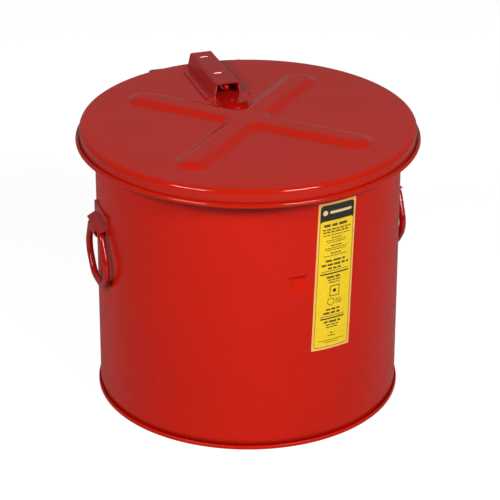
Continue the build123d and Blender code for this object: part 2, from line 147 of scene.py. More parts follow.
def lamp(name, azimuth, power):
    """A soft box that looks at the tank's middle, at an azimuth in degrees."""
    data = bpy.data.lights.new(name, "AREA")
    data.shape = "RECTANGLE"
    data.size = LAMP_WIDTH
    data.size_y = LAMP_HEIGHT
    data.energy = power
    box = bpy.data.objects.new(name, data)
    turn = math.radians(azimuth)
    away = Vector((math.cos(turn) * math.cos(LAMP_RISE), math.sin(turn) * math.cos(LAMP_RISE),
                   math.sin(LAMP_RISE)))
    box.location = LAMP_AIM + away * LAMP_DISTANCE
    box.rotation_mode = "QUATERNION"
    box.rotation_quaternion = away.to_track_quat("Z", "Y")
    bpy.context.scene.collection.objects.link(box)


lamp("soft_box_left", -148, 33)
lamp("soft_box_right", -73, 44)
print("soft boxes:", len(bpy.data.lights), "at", LAMP_DISTANCE, "m")

# %% [markdown]
# ## Surroundings
# A room has a bright side and a dark side. The walls behind the tank are the bright ones, which
# puts the pale rim on its turned-away sides, and the dark ones behind the viewer keep the red of
# the front deep. Seen directly, the backdrop is simply white.

# %% Room light
ROOM_DARK = 0.05
ROOM_BRIGHT = 0.27
AWAY_FROM_VIEWER = (0.3156, 0.9489, 0)
studio = bpy.data.worlds.new("white_studio")
studio.use_nodes = True
room = studio.node_tree
room.nodes.clear()
bearing = add(room, "ShaderNodeTexCoord").outputs["Generated"]
facing = add(room, "ShaderNodeVectorMath", {1: AWAY_FROM_VIEWER}, {0: bearing},
             operation="DOT_PRODUCT")
glow = add(room, "ShaderNodeMapRange",
           {"From Min": -0.8, "From Max": 0.9, "To Min": ROOM_DARK, "To Max": ROOM_BRIGHT},
           {"Value": facing.outputs["Value"]}, interpolation_type="SMOOTHSTEP")
ray = add(room, "ShaderNodeLightPath")
strength = add(room, "ShaderNodeMix", {"B": 1.0},
               {"Factor": ray.outputs["Is Camera Ray"], "A": glow.outputs["Result"]},
               data_type="FLOAT")
backdrop = add(room, "ShaderNodeBackground", {"Color": (1, 1, 1, 1)},
               {"Strength": strength.outputs["Result"]})
add(room, "ShaderNodeOutputWorld", links={"Surface": backdrop.outputs["Background"]})
bpy.context.scene.world = studio
bpy.context.scene.view_settings.view_transform = "Standard"
print("room light:", ROOM_DARK, "to", ROOM_BRIGHT)

# %% [markdown]
# ## Floor
# A wide sheet of white paper runs out past the view on every side. It glows a little where it is
# seen directly, so it looks as white as overlit paper does without throwing more light upwards.

# %% Floor paper
FLOOR_HALF = 6.0
PAPER_LIFT = 0.8
floor_mesh = bpy.data.meshes.new("floor")
corners = [(-FLOOR_HALF, -FLOOR_HALF, 0), (FLOOR_HALF, -FLOOR_HALF, 0),
           (FLOOR_HALF, FLOOR_HALF, 0), (-FLOOR_HALF, FLOOR_HALF, 0)]
floor_mesh.from_pydata(corners, [], [(0, 1, 2, 3)])
paper, paper_tree, paper_shader = new_material("white_backdrop_paper")[:3]
paper_shader.inputs["Base Color"].default_value = colour("b4b4b3")
paper_shader.inputs["Roughness"].default_value = 0.8
seen = add(paper_tree, "ShaderNodeLightPath")
lift = add(paper_tree, "ShaderNodeMath", {1: PAPER_LIFT}, {0: seen.outputs["Is Camera Ray"]},
           operation="MULTIPLY")
paper_tree.links.new(lift.outputs["Value"], paper_shader.inputs["Emission Strength"])
paper_shader.inputs["Emission Color"].default_value = (1, 1, 1, 1)
floor_mesh.materials.append(paper)
floor = bpy.data.objects.new("floor", floor_mesh)
bpy.context.scene.collection.objects.link(floor)
print("floor:", 2 * FLOOR_HALF, "m across")

# %% [markdown]
# ## Red enamel
# Dip tanks are powder coated: dry enamel is sprayed on and baked to a glossy skin about 0.1 mm
# thick. It flows a little as it bakes, and keeps a faint orange peel with waves 2 to 4 mm apart.
# The sheet beneath is never quite flat either, so reflections wander over a hand's width. The
# red deepens a little where the coat is thick, and the gloss varies a little from place to place.

# %% Enamel
def enamel(name, hex_full, hex_thin, roughness, peel_mm, shine):
    """A baked red coat with orange peel, slow waves in the sheet and fine gloss changes."""
    material, tree, shader, spot = new_material(name)
    cloud = add(tree, "ShaderNodeTexNoise", {"Scale": per_mm(90), "Detail": 3.0},
                {"Vector": spot})
    tone = add(tree, "ShaderNodeMix", {"A": colour(hex_full), "B": colour(hex_thin)},
               {"Factor": cloud.outputs["Fac"]}, data_type="RGBA")
    haze = add(tree, "ShaderNodeTexNoise", {"Scale": per_mm(25), "Detail": 5.0},
               {"Vector": spot})
    gloss = add(tree, "ShaderNodeMapRange",
                {"From Min": 0.3, "From Max": 0.7, "To Min": roughness - 0.03,
                 "To Max": roughness + 0.04}, {"Value": haze.outputs["Fac"]})
    peel = add(tree, "ShaderNodeTexNoise", {"Scale": per_mm(peel_mm), "Detail": 1.5},
               {"Vector": spot})
    peel_bump = add(tree, "ShaderNodeBump", {"Strength": 0.04, "Distance": 0.1 * MM},
                    {"Height": peel.outputs["Fac"]})
    wander = add(tree, "ShaderNodeTexNoise", {"Scale": per_mm(60), "Detail": 0.0},
                 {"Vector": spot})
    sheet_bump = add(tree, "ShaderNodeBump", {"Strength": 0.10, "Distance": 1.0 * MM},
                     {"Height": wander.outputs["Fac"], "Normal": peel_bump.outputs["Normal"]})
    tree.links.new(tone.outputs["Result"], shader.inputs["Base Color"])
    tree.links.new(gloss.outputs["Result"], shader.inputs["Roughness"])
    tree.links.new(sheet_bump.outputs["Normal"], shader.inputs["Normal"])
    shader.inputs["IOR"].default_value = 1.5
    shader.inputs["Specular IOR Level"].default_value = shine
    return material


TANK_RED = enamel("baked_enamel_tank", "d21a04", "c61804", 0.28, 3.0, 0.2)
# The lid's red is the tank's enamel painted darker, as painted shade: the lid takes less of the
# soft boxes' light than the wall does.
LID_RED_WITH_PAINTED_SHADE = enamel("baked_enamel_lid_painted_darker", "c41b05", "b81905", 0.12, 3.0, 0.3)
FITTING_RED = enamel("baked_enamel_fittings", "b40f08", "a20c07", 0.17, 2.0, 0.5)
print("enamels:", TANK_RED.name, LID_RED_WITH_PAINTED_SHADE.name, FITTING_RED.name)

# %% [markdown]
# ## Bare metals
# The hinge pin and the hidden wires are bright drawn steel, which shows fine lines along its
# length. The eyelets are brass, and the solder is a dull tin alloy that froze with a soft grain.

# %% Metals
def bare_metal(name, hex_light, hex_dark, roughness, stretch, grain_mm):
    """A bare metal: two tones, and a grain that stretch draws out along one axis."""
    material, tree, shader, spot = new_material(name)
    drawn = add(tree, "ShaderNodeMapping", {"Scale": stretch}, {"Vector": spot})
    grain = add(tree, "ShaderNodeTexNoise", {"Scale": per_mm(grain_mm), "Detail": 4.0},
                {"Vector": drawn.outputs["Vector"]})
    tone = add(tree, "ShaderNodeMix", {"A": colour(hex_light), "B": colour(hex_dark)},
               {"Factor": grain.outputs["Fac"]}, data_type="RGBA")
    gloss = add(tree, "ShaderNodeMapRange",
                {"To Min": roughness - 0.06, "To Max": roughness + 0.06},
                {"Value": grain.outputs["Fac"]})
    bump = add(tree, "ShaderNodeBump", {"Strength": 0.2, "Distance": 0.03 * MM},
               {"Height": grain.outputs["Fac"]})
    tree.links.new(tone.outputs["Result"], shader.inputs["Base Color"])
    tree.links.new(gloss.outputs["Result"], shader.inputs["Roughness"])
    tree.links.new(bump.outputs["Normal"], shader.inputs["Normal"])
    shader.inputs["Metallic"].default_value = 1.0
    return material


DRAWN_STEEL = bare_metal("drawn_steel", "c9cacb", "8f9192", 0.32, (0.05, 1, 1), 0.4)
BRASS = bare_metal("turned_brass", "d9b26a", "b98d45", 0.28, (1, 1, 0.2), 0.3)
SOLDER = bare_metal("cast_solder", "b5b6b3", "8b8c8a", 0.45, (1, 1, 1), 1.0)
print("metals:", DRAWN_STEEL.name, BRASS.name, SOLDER.name)

# %% [markdown]
# ## Helpers for shapes
# Sheet-metal work is mostly rings: a wall, a skirt and a rolled edge are one outline turned about
# an axis. A loft joins rings that have the same number of points, so it makes a plain lathe
# shape as well as a ring that isn't round. Each finished mesh is recalculated to face outwards.

# %% Rings, bends and lofts
def finish_mesh(name, work, material, smooth=True):
    """Turns bmesh work into an object that faces outwards and carries the material."""
    bmesh.ops.remove_doubles(work, verts=work.verts, dist=0.001 * MM)
    bmesh.ops.recalc_face_normals(work, faces=work.faces)
    mesh = bpy.data.meshes.new(name)
    work.to_mesh(mesh)
    work.free()
    mesh.materials.append(material)
    mesh.polygons.foreach_set("use_smooth", [smooth] * len(mesh.polygons))
    piece = bpy.data.objects.new(name, mesh)
    bpy.context.scene.collection.objects.link(piece)
    return piece


def loft(work, rings, wrap=False, close_ends=False):
    """Joins rings of points, in mm, one after the other. It then joins the last ring to the
    first, or closes the two end rings, when asked."""
    rows = [[work.verts.new((x * MM, y * MM, z * MM)) for x, y, z in ring] for ring in rings]
    count = len(rows[0])
    pairs = list(zip(rows, rows[1:]))
    if wrap:
        pairs.append((rows[-1], rows[0]))
    for low, high in pairs:
        for j in range(count):
            k = (j + 1) % count
            work.faces.new((low[j], low[k], high[k], high[j]))
    if close_ends:
        work.faces.new(rows[0])
        work.faces.new(rows[-1])


def lathe(profile, angles):
    """Rings for an outline of (radius, height) turned through the angles."""
    return [[(r * math.cos(a), r * math.sin(a), z) for a in angles] for r, z in profile]


def bend(r, z, radius, start, end, steps):
    """Points of an arc in the (radius, height) plane, from start to end in degrees."""
    turns = [math.radians(start + (end - start) * i / steps) for i in range(steps + 1)]
    return [(r + radius * math.cos(t), z + radius * math.sin(t)) for t in turns]


def spread(start, end, step):
    """Evenly spaced values from start up to, but not including, end."""
    count = max(1, round(abs(end - start) / step))
    return [start + (end - start) * i / count for i in range(count)]


def modifier(piece, kind, **settings):
    """Adds a modifier and sets its values."""
    added = piece.modifiers.new(kind.lower(), kind)
    for name, value in settings.items():
        setattr(added, name, value)
    return added


def place(piece, body, slot, *replaced):
    """Attaches the piece to the body that carries it and hides the CAD parts it stands for; slot,
    its finish, is not used.
    """
    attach(piece, body)
    if replaced:
        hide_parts(*replaced)


def ease(t):
    """A smooth step from 0 to 1."""
    t = min(1.0, max(0.0, t))
    return t * t * (3 - 2 * t)


# %% [markdown]
# ## Tank wall
# The wall is one sheet rolled to a cylinder and welded up the back, with its top edge curled
# outwards over a wire, and a mark pressed in at the front where the liquid should stand. The mark
# is a pocket with a straight top edge that runs out to a point below. The wall is a lathe shape
# whose lines crowd together where the mark is, so the pocket can be pressed in by moving points.

# %% Wall sizes
SHEET = 1.2
rim_low, rim_high = box_mm("rim_wire")
RIM_R = (rim_high.x - rim_low.x) / 2 - (rim_high.z - rim_low.z) / 2
RIM_Z = (rim_high.z + rim_low.z) / 2
CURL_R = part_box("tank_shell")[1].z / MM - RIM_Z
TANK_R = RIM_R - CURL_R + SHEET
SEAM_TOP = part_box("bottom_seam")[1].z / MM
MARK_TOP = 216.0
MARK_H = 22.0
MARK_HALF = 12.9
MARK_DEPTH = 6.0
WALL_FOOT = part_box("tank_shell")[0].z / MM
LEDGE_START = 0.02   # the ledge begins this share of the mark's height above its top
LEDGE_RUN = 0.03     # and reaches its full depth over this share
MARK_SOFT = 0.2      # how softly the pocket runs out into the wall
WELD_AT = math.radians(124)
WELD_HALF = 2.6
WELD_RISE = 0.35
WELD_RIPPLE = 0.25   # share by which the bead's height comes and goes
WELD_WAVE = 2.1      # radians per mm, so a ripple every 3 mm
print("wall radius", round(TANK_R, 2), "rim centre", round(RIM_R, 2), round(RIM_Z, 2))


# %% Wall
def mark_depth(across, z):
    """How far the filling mark is pressed in, in mm, at a place on the wall."""
    down = (MARK_TOP - z) / MARK_H
    if down > 1 or down < -LEDGE_START:
        return 0.0
    tool_r = (MARK_HALF ** 2 + MARK_DEPTH ** 2) / (2 * MARK_DEPTH)
    rise = tool_r - math.sqrt(max(0.0, tool_r ** 2 - min(abs(across), tool_r) ** 2))
    depth = MARK_DEPTH * (1 - max(0.0, down)) - rise
    soft = MARK_SOFT * math.log(1 + math.exp(min(30, depth / MARK_SOFT)))
    return soft * ease((down + LEDGE_START) / LEDGE_RUN)


def press_wall(x, y, z):
    """Moves a wall point in at the filling mark, and out a little along the weld."""
    turn = math.atan2(y, x)
    out = -mark_depth((turn + math.pi / 2) * TANK_R, z) if y < 0 else 0.0
    off_weld = abs(turn - WELD_AT) * TANK_R / WELD_HALF
    if off_weld < 1:
        out += WELD_RISE * ease(1 - off_weld) * (1 + WELD_RIPPLE * math.sin(z * WELD_WAVE))
    r = math.hypot(x, y)
    return (x * (r + out) / r, y * (r + out) / r, z)


PLAIN_STEP, MARK_STEP, WELD_STEP = 0.032, 0.0042, 0.003
mark_edge = math.radians(4.6)
front = -math.pi / 2
weld_edge = WELD_HALF / TANK_R
wall_angles = spread(front - mark_edge, front + mark_edge, MARK_STEP)
wall_angles += spread(front + mark_edge, WELD_AT - weld_edge, PLAIN_STEP)
wall_angles += spread(WELD_AT - weld_edge, WELD_AT + weld_edge, WELD_STEP)
wall_angles += spread(WELD_AT + weld_edge, front - mark_edge + 2 * math.pi, PLAIN_STEP)

POCKET_FOOT, LEDGE_FOOT, LEDGE_TOP = 190, 214, 217
wall_heights = spread(WALL_FOOT, POCKET_FOOT, 12) + spread(POCKET_FOOT, LEDGE_FOOT, 1)
wall_heights += spread(LEDGE_FOOT, LEDGE_TOP, 0.2) + spread(LEDGE_TOP, RIM_Z, 10)
wall_inside = [(TANK_R - SHEET, z) for z in wall_heights]
wall_outside = [(TANK_R, z) for z in reversed(wall_heights)]
CURL_END = -100
curl = bend(RIM_R, RIM_Z, CURL_R, 180, CURL_END, 24)
curl += bend(RIM_R, RIM_Z, CURL_R - SHEET, CURL_END, 180, 24)
wall_section = wall_inside + curl + wall_outside
wall_work = bmesh.new()
wall_rings = [[press_wall(*p) for p in ring] for ring in lathe(wall_section, wall_angles)]
loft(wall_work, wall_rings, wrap=True)
tank_wall = finish_mesh("tank_wall", wall_work, TANK_RED)
place(tank_wall, "tank", "red_enamel_tank", "tank_shell")
print("wall faces:", len(tank_wall.data.polygons))

# %% [markdown]
# ## Bottom
# The wall stands in a folded seam, the ring that carries the tank on the floor, and the bottom is
# a pressed dish inside it with a shallow groove that keeps the sheet from drumming.

# %% Seam
SEAM_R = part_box("bottom_seam")[1].x / MM
FLOOR_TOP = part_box("tank_bottom")[1].z / MM
DISH_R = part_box("tank_bottom")[1].x / MM
even_angles = spread(0, 2 * math.pi, math.radians(1.5))

SEAM_GAP = 0.1
SEAM_SHEET = WALL_FOOT - SEAM_GAP
SEAM_BEND_R = 1.5
seam_in = SEAM_R - 2 * SEAM_SHEET - 2 * SHEET - 3 * SEAM_GAP
edge = SEAM_SHEET / 2
seam_section = bend(SEAM_R - SEAM_BEND_R, SEAM_BEND_R, SEAM_BEND_R, -90, 0, 6)
seam_section += bend(SEAM_R - edge, SEAM_TOP - edge, edge, 0, 180, 8)
seam_section += [(SEAM_R - SEAM_SHEET, SEAM_SHEET), (seam_in + SEAM_SHEET, SEAM_SHEET)]
seam_section += bend(seam_in + edge, SEAM_TOP - edge, edge, 0, 180, 8)
seam_section += bend(seam_in + SEAM_BEND_R, SEAM_BEND_R, SEAM_BEND_R, 180, 270, 6)
seam_work = bmesh.new()
loft(seam_work, lathe(seam_section, even_angles), wrap=True)
seam_ring = finish_mesh("bottom_seam_ring", seam_work, TANK_RED)
place(seam_ring, "tank", "red_enamel_tank", "bottom_seam")
print("seam radius", round(SEAM_R, 2), "inside", round(seam_in, 2))

# %% Dish
GROOVE_R = 128.0
GROOVE_HALF = 7
GROOVE_DEPTH = 1.8
DISH_BEND_R = 3
bend_r, bend_z = DISH_R - DISH_BEND_R, FLOOR_TOP - DISH_BEND_R
groove = [(GROOVE_R - GROOVE_HALF + i,
           FLOOR_TOP - GROOVE_DEPTH * ease(1 - abs(i - GROOVE_HALF) / GROOVE_HALF))
          for i in range(2 * GROOVE_HALF + 1)]
flat = [(r, FLOOR_TOP) for r in (4, 60, 110)] + groove + [(150, FLOOR_TOP)]
dish_top = flat + bend(bend_r, bend_z, DISH_BEND_R, 90, 0, 8) + [(DISH_R, WALL_FOOT)]
dish_under = [(DISH_R - SHEET, WALL_FOOT)] + bend(bend_r, bend_z, DISH_BEND_R - SHEET, 0, 90, 8)
dish_under += [(r, z - SHEET) for r, z in reversed(flat)]
dish_work = bmesh.new()
loft(dish_work, lathe(dish_top + dish_under, even_angles), close_ends=True)
dish = finish_mesh("bottom_dish", dish_work, TANK_RED)
place(dish, "tank", "red_enamel_tank", "tank_bottom")
print("dish radius", round(DISH_R, 2), "groove radius", GROOVE_R)

# %% [markdown]
# ## Lid
# The lid is one pressing: a flat top with a raised X that stiffens it, a bend, a skirt, and a
# hem rolled outwards over a wire. A lathe can't make the X, and a fine square grid would step
# along its slanting edges. So the lid is a loft of rings that start out in the shape of the X,
# one every millimetre across its slope, and end up round. Every ring has the same points, at
# the same bearings from the middle, so the faces flow along the X's edges and the light does too.

# %% The X, as rings
hem_low, hem_high = box_mm("hem_wire")
HEM_CENTRE_R = (hem_high.x - hem_low.x) / 2 - (hem_high.z - hem_low.z) / 2
HEM_Z = (hem_high.z + hem_low.z) / 2
LID_OUT_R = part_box("lid_panel")[1].x / MM
HEM_R = LID_OUT_R - HEM_CENTRE_R
LID_R = HEM_CENTRE_R - HEM_R + SHEET
X_TOP_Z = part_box("lid_panel")[1].z / MM
X_H = 5.0
LID_TOP_Z = X_TOP_Z - X_H
LID_BEND_R = 5.3
ARM_HALF = 17.0
ARM_END = 135.0
CORNER_R = 10.0
SLOPE_IN = 9.0
SLOPE_OUT = 6.0
SLOPE_SPARE = 1.5    # flat metal kept on each side of the slope, so the rings stay even


def arm_half_outline(off):
    """Half an arm of the X, lying along +X, off mm outside its edge: from the inner corner's
    middle, along the side, to the middle of the rounded end."""
    half = ARM_HALF + off
    corner = ARM_HALF + CORNER_R
    points = []
    for i in range(6):
        turn = math.radians(-135 + 45 * i / 6)
        points.append((corner + (CORNER_R - off) * math.cos(turn),
                       corner + (CORNER_R - off) * math.sin(turn)))
    wide, narrow = math.atan(ARM_HALF / corner), math.atan(ARM_HALF / ARM_END)
    for i in range(16):
        along = ARM_HALF / math.tan(wide + (narrow - wide) * i / 16)
        points.append((along, half))
    for i in range(11):
        turn = math.radians(90 - 90 * i / 10)
        points.append((ARM_END + half * math.cos(turn), half * math.sin(turn)))
    return points


def cross_ring(off, z):
    """The whole outline of the X as one ring, off mm outside its edge, at height z."""
    upper = arm_half_outline(off)
    lower = [(x, -y) for x, y in upper[-2:0:-1]]
    ring = []
    for quarter in range(4):
        turn = math.radians(45 - 90 * quarter)
        c, s = math.cos(turn), math.sin(turn)
        for x, y in upper + lower:
            ring.append((x * c - y * s, x * s + y * c, z))
    return ring


print("lid radius", round(LID_R, 2), "top", round(LID_TOP_Z, 2), "X points", len(cross_ring(0, 0)))

# %% Lid pressing
def slope_height(off):
    """Height of the pressing above the lid's flat top, off mm outside the X's edge."""
    return X_H * ease((SLOPE_OUT - off) / (SLOPE_OUT + SLOPE_IN))


def lid_rings(drop, edge_r):
    """Rings from the middle of the X out to the start of the edge bend, drop mm lower."""
    crown = cross_ring(-SLOPE_IN - SLOPE_SPARE, LID_TOP_Z + X_H - drop)
    rings = [[(x * k, y * k, z) for x, y, z in crown] for k in (0.05, 0.4, 0.75, 1.0)]
    steps = round(SLOPE_OUT + SLOPE_IN)
    for i in range(steps + 1):
        off = -SLOPE_IN + i
        rings.append(cross_ring(off, LID_TOP_Z + slope_height(off) - drop))
    edge = cross_ring(SLOPE_OUT + SLOPE_SPARE, LID_TOP_Z - drop)
    rings.append(edge)
    for share in (0.4, 0.75, 1.0):
        ring = []
        for x, y, z in edge:
            reach = (1 - share) + share * edge_r / math.hypot(x, y)
            ring.append((x * reach, y * reach, z))
        rings.append(ring)
    return rings


BEND_START = 82      # the bend takes over from the flat top here, in degrees
HEM_END = 445        # and the hem stops here, once round its wire and a little more
bend_at = LID_R - LID_BEND_R
lid_angles = [math.atan2(y, x) for x, y, z in cross_ring(SLOPE_OUT + SLOPE_SPARE, 0)]
bend_z = LID_TOP_Z - LID_BEND_R
skirt_foot = [HEM_Z + 6, HEM_Z + 2]
skirt = bend(bend_at, bend_z, LID_BEND_R, BEND_START, 0, 10)
skirt += [(LID_R, z) for z in skirt_foot]
skirt += bend(HEM_CENTRE_R, HEM_Z, HEM_R - SHEET, 180, HEM_END, 22)
skirt += bend(HEM_CENTRE_R, HEM_Z, HEM_R, HEM_END, 180, 26)
skirt += [(LID_R - SHEET, z) for z in reversed(skirt_foot)]
skirt += bend(bend_at, bend_z, LID_BEND_R - SHEET, 0, BEND_START, 10)
rings = lid_rings(0, bend_at) + lathe(skirt, lid_angles) + lid_rings(SHEET, bend_at)[::-1]
lid_work = bmesh.new()
loft(lid_work, rings, close_ends=True)
lid = finish_mesh("lid_pressing", lid_work, LID_RED_WITH_PAINTED_SHADE)
place(lid, "lid", "red_enamel_lid", "lid_panel")
print("lid faces:", len(lid.data.polygons))

# %% [markdown]
# ## Folded sheet parts
# The clips, the hinge, the housing and the finger lip are cut and folded from sheet, so their
# shapes are right already as the CAD has them. What a CAD solid lacks is the small round that
# tumbling and a thick coat leave on every edge, and that is where an edge catches the light.
# Each part is copied, its loose triangles are merged to whole faces, and a Bevel rounds what is
# sharp. Bends are left alone, because their facets meet at less than the modifier's angle. The
# Weighted Normal modifier then keeps the broad flat faces looking flat beside the small rounds.

# %% Rounded copies
CAD_WELD = 0.004 * MM               # closer than this, two CAD corners are one
FLAT_ANGLE = math.radians(0.6)      # below this, two triangles are one face
SHARP_ANGLE = math.radians(28)      # above this, an edge is rounded


def rounded_copy(name, node, width, material, body, slot):
    """A copy of a CAD part whose sharp edges are rounded by width, in mm."""
    work = bmesh.new()
    work.from_mesh(frame["nodes"][node].data)
    bmesh.ops.remove_doubles(work, verts=work.verts, dist=CAD_WELD)
    bmesh.ops.dissolve_limit(work, angle_limit=FLAT_ANGLE, verts=work.verts, edges=work.edges)
    mesh = bpy.data.meshes.new(name)
    work.to_mesh(mesh)
    work.free()
    mesh.materials.append(material)
    mesh.polygons.foreach_set("use_smooth", [True] * len(mesh.polygons))
    piece = bpy.data.objects.new(name, mesh)
    bpy.context.scene.collection.objects.link(piece)
    modifier(piece, "BEVEL", width=width * MM, segments=3, limit_method="ANGLE",
             angle_limit=SHARP_ANGLE, harden_normals=True, use_clamp_overlap=True)
    modifier(piece, "WEIGHTED_NORMAL", weight=80)
    place(piece, body, slot, node)


ENAMELLED = [  # piece, CAD part, round on its edges, body
    ("clip_left", "handle_clip_left", 0.5, "tank"),
    ("clip_right", "handle_clip_right", 0.5, "tank"),
    ("bracket", "hinge_bracket", 0.5, "tank"),
    ("leaf", "lid_hinge_leaf", 0.45, "lid"),
    ("housing", "link_housing", 0.5, "lid"),
    ("lip", "finger_lip", 0.5, "lid")]
for name, node, width, body in ENAMELLED:
    rounded_copy(name, node, width, FITTING_RED, body, "red_enamel_fittings")
rounded_copy("anchor", "link_anchor", 0.3, DRAWN_STEEL, "lid", "bare_steel")
rounded_copy("rod_end", "link_rod", 0.25, FITTING_RED, "lid", "red_enamel_fittings")
rounded_copy("link_front", "link_front_plate", 0.15, BRASS, "lid", "brass")
rounded_copy("link_rear", "link_rear_plate", 0.15, BRASS, "lid", "brass")
rounded_copy("solder_film", "link_solder", 0.05, SOLDER, "lid", "solder")

# %% [markdown]
# ## Lanced tabs
# Two slots are lanced through the housing's top: the press cuts three sides and folds the metal
# down on the fourth. The fold leans back and faces a soft box, so it is the brightest spot on the
# housing. A rounded edge would be too narrow to show that, so each fold is a small loft along its
# slot: a shallow bend about as deep as the sheet is thick, just below the housing's top.

# %% Slot folds
SLOT_BACKS = (113.0, 168.0)
FOLD_STATIONS = (-5.9, -5.8, 4.1, 4.2)   # across the slot; the close pairs keep its ends crisp
FOLD_R = 8.0
FOLD_SHEET = 0.9
FOLD_START = 0.1     # behind the slot's back edge
FOLD_SUNK = 0.02     # below the housing's top
FOLD_LEAN = 34       # degrees
FOLD_SWEEP = 12
HOUSING_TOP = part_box("link_housing")[1].z / MM
tilt = math.radians(FOLD_LEAN)
fold_y = FOLD_START + FOLD_R * math.cos(tilt)
fold_z = -FOLD_SUNK - FOLD_R * math.sin(tilt)
top_turn, foot_turn = 180 - FOLD_LEAN, 180 - FOLD_LEAN + FOLD_SWEEP
fold = bend(fold_y, fold_z, FOLD_R, top_turn, foot_turn, 8)
fold += bend(fold_y, fold_z, FOLD_R - FOLD_SHEET, foot_turn, top_turn, 8)
fold_work = bmesh.new()
for back in SLOT_BACKS:
    loft(fold_work, [[(x, back + y, HOUSING_TOP + z) for y, z in fold] for x in FOLD_STATIONS],
         close_ends=True)
slot_folds = finish_mesh("slot_folds", fold_work, FITTING_RED)
place(slot_folds, "lid", "red_enamel_fittings")
print("slot folds:", len(SLOT_BACKS))

# %% [markdown]
# ## Drop handles
# Each handle is one 8 mm rod bent to a ring, flat where it turns in its clip and widest half way
# down. It is a path with a different bend at each corner and a round section, which is a rule, so
# Geometry Nodes make it: the corners carry their bend as an attribute, Fillet Curve rounds them
# and Curve to Mesh gives the rod its thickness. One tree serves both handles.

# %% Handle tree
def new_tree(name, inputs):
    """A Geometry Nodes tree with a geometry in and out and the named number inputs."""
    tree = bpy.data.node_groups.new(name, "GeometryNodeTree")
    tree.interface.new_socket("Geometry", in_out="INPUT", socket_type="NodeSocketGeometry")
    for label, kind, value in inputs:
        socket = tree.interface.new_socket(label, in_out="INPUT", socket_type=kind)
        if value is not None:
            socket.default_value = value
    tree.interface.new_socket("Geometry", in_out="OUTPUT", socket_type="NodeSocketGeometry")
    return tree, add(tree, "NodeGroupInput"), add(tree, "NodeGroupOutput")


def close_tree(tree, group_out, geometry, material):
    """Ends a tree in real, smooth-shaded geometry that carries the material."""
    real = add(tree, "GeometryNodeRealizeInstances", links={"Geometry": geometry})
    smooth = add(tree, "GeometryNodeSetShadeSmooth", links={"Geometry": real.outputs[0]})
    painted = add(tree, "GeometryNodeSetMaterial", {"Material": material},
                  {"Geometry": smooth.outputs[0]})
    tree.links.new(painted.outputs[0], group_out.inputs[0])


def run_tree(name, tree, base_mesh, values):
    """Runs a tree on a mesh with named input values, and returns the result as a plain object."""
    maker = bpy.data.objects.new(name + "_maker", base_mesh)
    bpy.context.scene.collection.objects.link(maker)
    nodes = maker.modifiers.new("tree", "NODES")
    nodes.node_group = tree
    for item in tree.interface.items_tree:
        if item.in_out == "INPUT" and item.name in values:
            nodes[item.identifier] = values[item.name]
    graph = bpy.context.evaluated_depsgraph_get()
    mesh = bpy.data.meshes.new_from_object(maker.evaluated_get(graph), depsgraph=graph)
    bpy.data.objects.remove(maker)
    mesh.name = name
    piece = bpy.data.objects.new(name, mesh)
    bpy.context.scene.collection.objects.link(piece)
    return piece


handle_tree, given, result = new_tree("bent_rod", [("Rod radius", "NodeSocketFloat", 0.004)])
bend_size = add(handle_tree, "GeometryNodeInputNamedAttribute", {"Name": "bend"},
                data_type="FLOAT")
route = add(handle_tree, "GeometryNodeMeshToCurve", links={"Mesh": given.outputs["Geometry"]})
rounded = add(handle_tree, "GeometryNodeFilletCurve", {"Count": 14},
              {"Curve": route.outputs["Curve"], "Radius": bend_size.outputs["Attribute"]},
              mode="POLY")
section = add(handle_tree, "GeometryNodeCurvePrimitiveCircle", {"Resolution": 28},
              {"Radius": given.outputs["Rod radius"]})
bent = add(handle_tree, "GeometryNodeCurveToMesh",
           links={"Curve": rounded.outputs["Curve"], "Profile Curve": section.outputs["Curve"]})
close_tree(handle_tree, result, bent.outputs["Mesh"], FITTING_RED)
print("handle tree:", len(handle_tree.nodes), "nodes")

# %% Handles
ROD_R = 4.0
BAIL_LEAN = math.radians(1.5)
BAIL_CORNERS = [(21.3, 0, 9), (41.5, 38, 24), (21, 67.5, 20)]   # half width, drop, bend
joints = {joint["name"]: joint for joint in frame["record"]["behaviour"]["joints"]}


def handle_route(name):
    """The corners of a handle's centre line on one side, as a closed loop with bend sizes."""
    pivot = Vector(joints[f"{name}_bail_pivot"]["pos_m"])
    outward = Vector((pivot.x, pivot.y, 0)).normalized()
    along = Vector((-outward.y, outward.x, 0))
    mirrored = [(-half, drop, turn) for half, drop, turn in reversed(BAIL_CORNERS)]
    corners = BAIL_CORNERS + mirrored
    hang = Vector((0, 0, -math.cos(BAIL_LEAN))) - outward * math.sin(BAIL_LEAN)
    points = [pivot + along * half * MM + hang * drop * MM for half, drop, turn in corners]
    mesh = bpy.data.meshes.new(f"route_{name}")
    count = len(points)
    mesh.from_pydata(points, [(i, (i + 1) % count) for i in range(count)], [])
    sizes = mesh.attributes.new("bend", "FLOAT", "POINT")
    sizes.data.foreach_set("value", [turn * MM for half, drop, turn in corners])
    return mesh


for name in ("left", "right"):
    handle = run_tree(f"handle_{name}", handle_tree, handle_route(name),
                      {"Rod radius": ROD_R * MM})
    place(handle, f"{name}_bail", "red_enamel_fittings", f"bail_{name}")
    print(handle.name, "faces:", len(handle.data.polygons))

# %% [markdown]
# ## Rivets
# Four domed rivets hold the hinge bracket to the wall, with heads outside and inside, and one
# small rivet sits on the finger lip. A rivet head is pressed by a hollow punch, which leaves a
# low dome with a soft foot. The tree puts one head, drawn as half an outline, on each point of a
# mesh and turns it to the point's own outward direction.

# %% Rivet tree
def rivet_head(name, radius, height):
    """A domed head, in mm, that stands on the origin and points up."""
    dome_r = (radius ** 2 + height ** 2) / (2 * height)
    turn = math.degrees(math.acos((dome_r - height) / dome_r))
    top = bend(0, height - dome_r, dome_r, 89.5, 90 - turn + 6, 8)
    foot = [(radius - 0.02, 0.25), (radius, 0.1), (radius, 0), (radius * 0.3, 0)]
    work = bmesh.new()
    loft(work, lathe(top + foot, spread(0, 2 * math.pi, math.radians(12))), close_ends=True)
    head = finish_mesh(name, work, FITTING_RED)
    bpy.context.scene.collection.objects.unlink(head)
    return head


